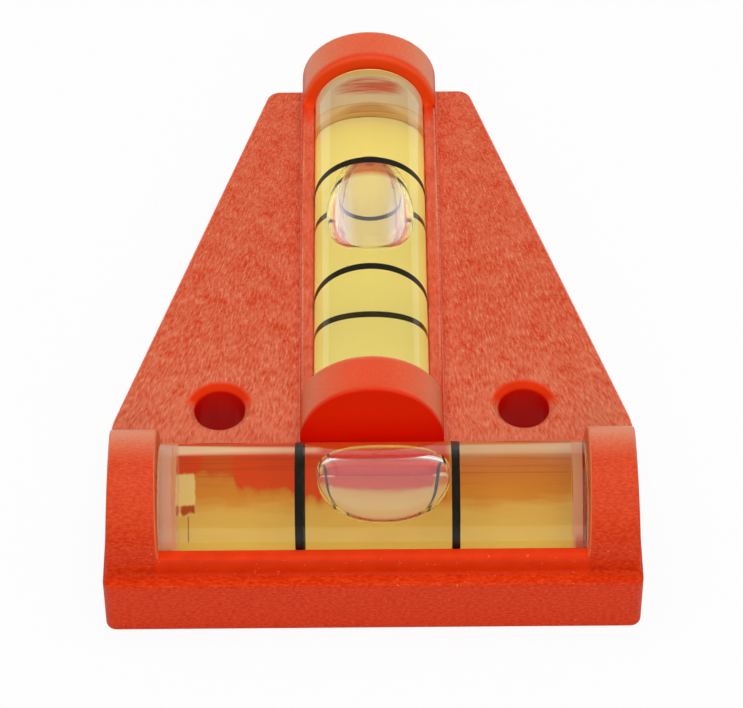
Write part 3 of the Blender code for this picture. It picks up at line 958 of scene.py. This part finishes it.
def makePlastic():  # moulded ABS: deep and smooth as it left the mould, streaked and worn where it lies open on top, with a painted sheen on up-facing faces and round tops, a painted highlight along rounded edges, painted shade and red bounce light in the recesses, the gap floor and the holes, painted shade on the front ledge and cheeks, and painted light beside the crosswise vial's ends
    p, h = plasticValues, housingValues
    material, tree = newMaterial("mouldedRedPlastic")
    spot, inMm, (x, y, z) = measure(tree)
    normalX, normalY, up = addNode(tree, "SeparateXYZ", {0: spot.outputs["Normal"]}).outputs
    side = addNode(tree, "Math", {0: x}, operation="ABSOLUTE")
    values = {"y": y, "z": z, "up": up, "normalY": normalY, "side": side}
    values["normalSide"] = addNode(tree, "Math", {0: normalX}, operation="ABSOLUTE")
    values["facing"] = addNode(tree, "LayerWeight", {"Blend": 0.5}).outputs["Facing"]
    flat = addNode(tree, "CombineXYZ", {0: side, 1: y})
    fromHole = addNode(tree, "VectorMath", {0: flat, 1: (h["holeX"], h["holeY"], 0)}, operation="DISTANCE")
    values["fromHole"] = fromHole.outputs["Value"]

    # fine grain, broad clouds, and streaks that fan out from the narrow end
    for name, (scale, detail, roughness) in plasticNoises.items():
        inputs = {"Vector": inMm, "Scale": scale, "Detail": detail, "Roughness": roughness}
        values[name] = addNode(tree, "TexNoise", inputs)
    narrowing = addNode(tree, "Math", {0: y, 1: -1 / p["fanLength"], 2: 1.0}, operation="MULTIPLY_ADD")
    fan = addNode(tree, "Math", {0: x, 1: narrowing}, operation="DIVIDE")
    fan = addNode(tree, "Math", {0: values["sway"], 1: p["sway"], 2: fan}, operation="MULTIPLY_ADD")
    drawn = addNode(tree, "CombineXYZ", {0: fan, 1: y, 2: z})
    drawn = addNode(tree, "Mapping", {"Vector": drawn, "Scale": p["streakScale"]})
    inputs = {"Vector": drawn, "Scale": 1.0, "Detail": 2.5, "Roughness": 0.55}
    streaks = values["streaks"] = addNode(tree, "TexNoise", inputs)
    stretched = addNode(tree, "Mapping", {"Vector": inMm, "Scale": p["scuffScale"]})
    inputs = {"Vector": stretched, "Scale": 1.0, "Detail": 4.0, "Roughness": 0.65}
    values["scuffs"] = addNode(tree, "TexNoise", inputs)

    addShares(tree, values, plasticShares)
    pattern = addNode(tree, "Mix", {0: values["toFront"], 2: values["grain"], 3: streaks})
    pattern = addNode(tree, "Math", {0: values["clouds"], 1: p["cloudiness"], 2: pattern}, operation="MULTIPLY_ADD")
    pattern = addNode(tree, "Math", {0: pattern, 1: values["nearFront"]}, operation="ADD")
    pattern = addNode(tree, "Math", {0: values["strip"], 1: p["stripLift"], 2: pattern}, operation="MULTIPLY_ADD")
    values["pattern"] = pattern
    addShares(tree, values, {"pale": (("pattern", 0.53, 0.84),)})
    colour = addLayers(tree, values, plasticColours, plasticLayers)
    height = addNode(tree, "Math", {0: values["grain"], 1: streaks}, operation="ADD")
    height = addNode(tree, "Math", {0: height, 1: values["relief"]}, operation="MULTIPLY")
    bump = addNode(tree, "Bump", {"Strength": 0.3, "Distance": 0.00003, "Height": height})
    inputs = {"Base Color": colour, "Roughness": values["roughness"], "Normal": bump, "Specular IOR Level": 0.12}
    shader = addNode(tree, "BsdfPrincipled", inputs)
    addNode(tree, "OutputMaterial", {"Surface": shader})
    return material


clearValues = {  # cast acrylic and spirit: each wall's index is taken against what lies behind it
    "acrylic": {"name": "clearAcrylic", "ior": 1.49},
    "wetAcrylic": {"name": "acrylicAgainstLiquid", "ior": 1.0643},
    "bondedAcrylic": {"name": "bondedSeam", "ior": 1.0},
    # frosted plug: its warm pink colour stands for the red housing around it, a painted reflection on a frosted
    # surface
    "frosted": {"name": "frostedPlug", "ior": 1.49, "colour": "#F4D8C4", "roughness": 0.22, "clarity": 0.82},
    "spirit": {"name": "yellowSpirit", "ior": 1.0, "absorb": ("#FFF940", 118.0)},
    "transverse": {"name": "bubbleSkin", "ior": 0.7143, "colour": "#F8F4FF", "clarity": 0.975},
    "longitudinal": {
        "name": "bubbleSkinNearArch", "ior": 0.7143, "colour": "#F8F4FF", "clarity": 0.975,
        "paintedReflections": {  # painted reflections: the arch's orange painted onto its far end, and its sides made milky to stand for the room mirrored in them
            "colours": {"arch": "#C8543A"},
            "shares": {
                "tinged": (("y", 12.1, 12.9), ("side", 2.8, 1.2), ("z", 10.7, 10.8)),
                "veiled": (("side", 1.3, 2.6), ("y", 12.9, 11.1)),
                "clarity": (("veiled", 0.0, 1.0, 0.975, 0.72),),
            },
        },
    },
}


def makeClear(name, ior, colour="#FFFFFF", roughness=0.0, clarity=1.0, absorb=None, paintedReflections=None):
    material, tree = newMaterial(name)
    paint = hexColour(colour)
    # paints reflections into the bubble's colour and clarity, as its table sets out
    if paintedReflections:
        spot, inMm, (x, y, z) = measure(tree)
        values = {"y": y, "z": z, "side": addNode(tree, "Math", {0: x}, operation="ABSOLUTE")}
        addShares(tree, values, paintedReflections["shares"])
        colours = {"clear": colour, **paintedReflections["colours"]}
        paint = addLayers(tree, values, colours, {"surface": ("clear", ("tinged", "arch"))})
        clarity = values["clarity"]
    inputs = {"Base Color": paint, "Roughness": roughness, "IOR": ior, "Transmission Weight": clarity}
    glass = addNode(tree, "BsdfPrincipled", inputs)
    passing = addNode(tree, "BsdfTransparent", {"Color": (1, 1, 1, 1)})
    shadow = addNode(tree, "LightPath").outputs["Is Shadow Ray"]
    both = addNode(tree, "MixShader", {0: shadow, 1: glass, 2: passing})
    out = addNode(tree, "OutputMaterial", {"Surface": both})
    if absorb:
        filling = addNode(tree, "VolumeAbsorption", {"Color": hexColour(absorb[0]), "Density": absorb[1]})
        tree.links.new(filling.outputs[0], out.inputs["Volume"])
    return material


inkColours = {"ink": "#120F0A", "worn": "#262016"}


def makeInk():  # screen-printed black ink: dark olive grey with a dull sheen
    material, tree = newMaterial("printedInk")
    spot, inMm, parts = measure(tree)
    values = {"wear": addNode(tree, "TexNoise", {"Vector": inMm, "Scale": 1.5, "Detail": 3.0})}
    addShares(tree, values, {"roughness": (("wear", 0.3, 0.7, 0.3, 0.5),)})
    colour = addLayers(tree, values, inkColours, {"surface": ("ink", ("wear", "worn"))})
    inputs = {"Base Color": colour, "Roughness": values["roughness"], "Specular IOR Level": 0.3}
    addNode(tree, "OutputMaterial", {"Surface": addNode(tree, "BsdfPrincipled", inputs)})
    return material


creamValues = {
    "transverse": {
        "name": "stainedAdhesive",
        "centre": (0, 22.05, -7.8),
        "across": "Y",
        "grainScale": (0.25, 2.5, 2.5),
        "stops": (  # colours by the angle round the vial, in degrees from its bottom towards the back
            (22, "#E8C68A"), (34, "#E4B678"), (41, "#DA8C38"), (48, "#D88434"), (56, "#D87E48"), (62, "#D89470"),
        ),
        "film": "#CC8A68",
    },
    "longitudinal": {
        "name": "curedAdhesive",
        "centre": (0, -7.45, -7.8),
        "across": "X",
        "grainScale": (2.5, 0.25, 2.5),
        "stops": ((0, "#FCF0C8"), (50, "#F6E8C0"), (66, "#F0D0A8")),
        "film": "#E08A50",
    },
    "thinAt": {"film": (("thin", 0.965, 1.01),)},
}

flawColours = {
    "bare": "#E2420A",
    "stain": "#D0621E",
    "rim": "#FFE6C4",
    "lump": "#F2D4A6",
    "ends": "#F0A87C",
    "scratch": "#A8401C",
    "spot": "#B4430F",
    "hair": "#8A4A20",
    "corner": "#C8361A",
}

flawValues = {
    "bareFrom": (  # how far round the bed is whole, in degrees, from places along it
        (-17.5, 60), (-16.6, 58), (-16.4, 52.5), (-14.6, 52.5), (-14.4, 53), (-11.9, 52), (-11.6, 46),
        (-7.0, 45.5), (-6.2, 42.5), (-4.4, 41.5), (6.2, 41.5), (6.6, 80),
    ),
    "wholeAngle": 90.0,
    "raggedAcross": 11.0,
    "raggedAlong": 0.8,
    "raggedRound": 9.0,
    "scratchScale": (0.06, 1.3, 0.0),
}

flawShares = {
    "stained": (("past", -3.5, 0.5, 0.0, 0.8),),
    "dulled": (("along", -14.75, -14.25), ("along", -11.65, -12.15), 0.55),
    "bared": (("past", -0.6, 0.8),),
    "scratched": (("scratches", 0.52, 0.66, 0.0, 0.4), ("angle", 42.0, 50.0)),
    "rimLeft": (("angle", 59.2, 60.0, 0.0, 0.8), ("along", -4.2, -5.0)),
    "rimRight": (("angle", 58.0, 62.0), ("along", 6.0, 6.5)),
    "rimmed": (["rimLeft", "rimRight"],),
    "lumpy": (("uneven", -16.55, -16.45), ("uneven", -15.05, -15.15), ("rough", 32.5, 33.5), ("rough", 53.0, 52.0)),
    "spotted": (("uneven", -16.4, -16.2), ("uneven", -15.05, -15.25), ("rough", 32.8, 34.2), ("rough", 39.2, 37.8)),
    "haired": (("along", -15.77, -15.71), ("along", -15.63, -15.69), ("angle", 21.5, 22.5), ("angle", 33.5, 32.5)),
    "atEnds": ([("along", 16.65, 16.8), ("along", -16.55, -16.65)],),
    "inCorner": (("along", 16.9, 17.1), ("angle", 29.0, 26.0)),
}

flawLayers = {
    "showing": ("bare", ("dulled", "stain")),
    "surface": (
        "bed", ("stained", "stain"), ("bared", "showing"), ("scratched", "scratch"), ("rimmed", "rim"),
        ("lumpy", "lump"), ("spotted", "spot"), ("haired", "hair"), ("atEnds", "ends"), ("inCorner", "corner"),
    ),
}


def addStops(tree, value, stops):  # colours that blend from stop to stop
    low, high = stops[0][0], stops[-1][0]
    share = addNode(tree, "MapRange", {0: value, 1: low, 2: high})
    ramp = addNode(tree, "ValToRGB", {0: share})
    elements = ramp.color_ramp.elements
    for place, colour in stops[1:-1]:
        elements.new((place - low) / (high - low))
    for element, (place, colour) in zip(elements, stops):
        element.color = colour
    return ramp


def addFlaws(tree, bed, inMm, along, angle):  # bare red spots, a lump, fine scratches and the tinted ends
    f = flawValues
    inputs = {"Vector": inMm, "Scale": 0.9, "Detail": 5.0, "Roughness": 0.65}
    blocky = addNode(tree, "TexNoise", inputs)
    ragged = addNode(tree, "Math", {0: blocky, 1: 0.5}, operation="SUBTRACT")
    limits = [(place, (limit / f["wholeAngle"],) * 3 + (1.0,)) for place, limit in f["bareFrom"]]
    limits = addStops(tree, along, limits)
    past = addNode(tree, "Math", {0: limits, 1: -f["wholeAngle"], 2: angle}, operation="MULTIPLY_ADD")
    values = {"along": along, "angle": angle}
    for name, start, reach in (("past", past, "Across"), ("uneven", along, "Along"), ("rough", angle, "Round")):
        inputs = {0: ragged, 1: f["ragged" + reach], 2: start}
        values[name] = addNode(tree, "Math", inputs, operation="MULTIPLY_ADD")
    fine = addNode(tree, "CombineXYZ", {0: along, 1: angle})
    fine = addNode(tree, "Mapping", {"Vector": fine, "Scale": f["scratchScale"]})
    values["scratches"] = addNode(tree, "TexNoise", {"Vector": fine, "Scale": 1.0, "Detail": 2.0})
    addShares(tree, values, flawShares)
    return addLayers(tree, values, {"bed": bed, **flawColours}, flawLayers)


def makeCream(which):  # cured cream adhesive: faintly mottled, stained darker where it thins out over the red seat
    c = creamValues[which]
    material, tree = newMaterial(c["name"])
    spot, inMm, parts = measure(tree, c["centre"])
    down = addNode(tree, "Math", {0: parts["Z"], 1: -1.0}, operation="MULTIPLY")
    angle = addNode(tree, "Math", {0: parts[c["across"]], 1: down}, operation="ARCTAN2")
    angle = addNode(tree, "Math", {0: angle, 1: math.degrees(1)}, operation="MULTIPLY")
    drawn = addNode(tree, "Mapping", {"Vector": inMm, "Scale": c["grainScale"]})
    streaks = addNode(tree, "TexNoise", {"Vector": drawn, "Scale": 1.0, "Detail": 3.0})
    patches = addNode(tree, "TexNoise", {"Vector": inMm, "Scale": 0.45, "Detail": 4.0})
    shifted = addNode(tree, "Math", {0: angle, 1: -8.0}, operation="ADD")  # the noises' mean shift, taken off
    for noises, reach in ((streaks, 10.0), (patches, 6.0)):
        shifted = addNode(tree, "Math", {0: noises, 1: reach, 2: shifted}, operation="MULTIPLY_ADD")
    bed = addStops(tree, shifted, [(place, hexColour(code)) for place, code in c["stops"]])
    share = addNode(tree, "SeparateXYZ", {0: spot.outputs["UV"]}).outputs["Y"]
    values = {"thin": addNode(tree, "Math", {0: patches, 1: 0.02, 2: share}, operation="MULTIPLY_ADD")}
    addShares(tree, values, creamValues["thinAt"])
    colour = addLayers(tree, values, {"bed": bed, "film": c["film"]}, {"surface": ("bed", ("film", "film"))})
    if which == "transverse":
        colour = addFlaws(tree, colour, inMm, parts["X"], angle)
    bump = addNode(tree, "Bump", {"Strength": 0.3, "Distance": 0.00005, "Height": patches})
    shader = addNode(tree, "BsdfPrincipled", {"Base Color": colour, "Roughness": 0.45, "Normal": bump})
    addNode(tree, "OutputMaterial", {"Surface": shader})
    return material


padColours = {
    "cream": "#F2DCB8",
    "low": "#F2D2B0",
    "rim": "#F4D488",
    "red": "#E06448",
    "brown": "#CE8C50",
}

padBlots = {  # two ovals: their middle along Z, half width and half height
    "redOval": (1.6, 2.2, 1.6),
    "brownOval": (-3.5, 0.85, 1.6),
}

padShares = {
    "lowDown": (("z", -1.6, -2.2),),
    "highUp": (("z", 3.2, 3.8),),
    "reddened": (("redOval", 1.65, 0.85), ("streaks", 0.36, 0.56, 0.35, 1.0)),
    "browned": (("brownOval", 1.85, 0.65), ("streaks", 0.3, 0.6, 0.5, 0.9)),
    "lined": (("fromLine", 0.2, 0.04, 0.0, 0.4),),
}

padLayers = {
    "surface": ("cream", ("lowDown", "low"), ("highUp", "rim"), ("reddened", "red"), ("browned", "brown"),
                ("lined", "brown")),
}


def makePadCream():  # cream adhesive on the end wall, with two bare spots through which the red plastic shows
    material, tree = newMaterial("padAdhesive")
    spot, inMm, (x, y, z) = measure(tree, (0, 0, -housingValues["axisHeight"]))
    patches = addNode(tree, "TexNoise", {"Vector": inMm, "Scale": 1.2, "Detail": 3.0})
    values = {"z": z}
    for name, (middle, wide, high) in padBlots.items():
        inputs = {"Vector": inMm, "Location": (0, 0, -middle / high), "Scale": (1 / wide, 0, 1 / high)}
        oval = addNode(tree, "Mapping", inputs)
        reach = addNode(tree, "VectorMath", {0: oval, 1: oval}, operation="DOT_PRODUCT").outputs["Value"]
        values[name] = addNode(tree, "Math", {0: patches, 1: 0.6, 2: reach}, operation="MULTIPLY_ADD")
    drawn = addNode(tree, "Mapping", {"Vector": inMm, "Scale": (0.35, 1.0, 3.0)})
    values["streaks"] = addNode(tree, "TexNoise", {"Vector": drawn, "Scale": 1.0, "Detail": 2.0})
    above = addNode(tree, "Math", {0: z, 1: 2.0}, operation="ADD")
    values["fromLine"] = addNode(tree, "Math", {0: above}, operation="ABSOLUTE")
    addShares(tree, values, padShares)
    colour = addLayers(tree, values, padColours, padLayers)
    shader = addNode(tree, "BsdfPrincipled", {"Base Color": colour, "Roughness": 0.5})
    addNode(tree, "OutputMaterial", {"Surface": shader})
    return material


def main():
    scene = bpy.context.scene
    scene.view_settings.view_transform = "Standard"
    scene.cycles.max_bounces = 24
    scene.cycles.transmission_bounces = 24
    scene.cycles.transparent_max_bounces = 24
    makeCamera()
    makeLight()
    makeFloor()

    plastic, ink = makePlastic(), makeInk()
    clear = {name: makeClear(**values) for name, values in clearValues.items()}
    print("materials made")

    housing = makeHousing()
    dress(housing, [plastic], "root", ["housing"])

    models = {"Barrel": makeBarrel(), "Plug": makePlug(), "Liquid": makeLiquid()}
    line, bubble = makeLine(), makeBubble()
    h = housingValues
    turn = Matrix.Rotation(math.radians(-90), 4, "Z")
    places = {
        "transverse": Matrix.Translation((0, h["crossY"] * mm, h["axisHeight"] * mm)),
        "longitudinal": Matrix.Translation((0, h["longY"] * mm, h["axisHeight"] * mm)) @ turn,
    }
    lineNames = {"transverse": ("left", "right"), "longitudinal": ("far", "near")}
    for which, place in places.items():
        for part, model in models.items():
            piece = putCopy(model, which + "Vial" + part, place)
            outside = "frosted" if part == "Plug" and which == "transverse" else "acrylic"
            skins = ["spirit"] if part == "Liquid" else [outside, "wetAcrylic", "bondedAcrylic"]
            dress(piece, [clear[skin] for skin in skins], "root", [f"{which}_vial_{part.lower()}"])
        for side, lineName in zip((-1, 1), lineNames[which]):
            along = vialValues["lineMiddle"] + side * vialValues["lineSpacing"] / 2
            spotOnAxis = place @ Matrix.Translation((along * mm, 0, 0))
            piece = putCopy(line, which + "VialLine" + lineName.title(), spotOnAxis)
            dress(piece, [ink], "root", [f"{which}_vial_line_{lineName}"])
        along = vialValues["lineMiddle"] + bubbleValues["rest"][which]
        spotOnAxis = place @ Matrix.Translation((along * mm, 0, 0))
        piece = putCopy(bubble, which + "VialBubble", spotOnAxis)
        dress(piece, [clear[which]], which + "_bubble", [which + "_vial_bubble"])
        piece = makeAdhesive(which + "VialAdhesive", which, place)
        names = [f"{which}_vial_adhesive_{end}" for end in lineNames[which]]
        dress(piece, [makeCream(which)], "root", names)
    pad = makePad("longitudinalVialPad", places["longitudinal"])
    pad.data.materials.append(makePadCream())
    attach(pad, "root")
    for model in [*models.values(), line, bubble]:
        bpy.data.objects.remove(model, do_unlink=True)
    print("vials made")


main()
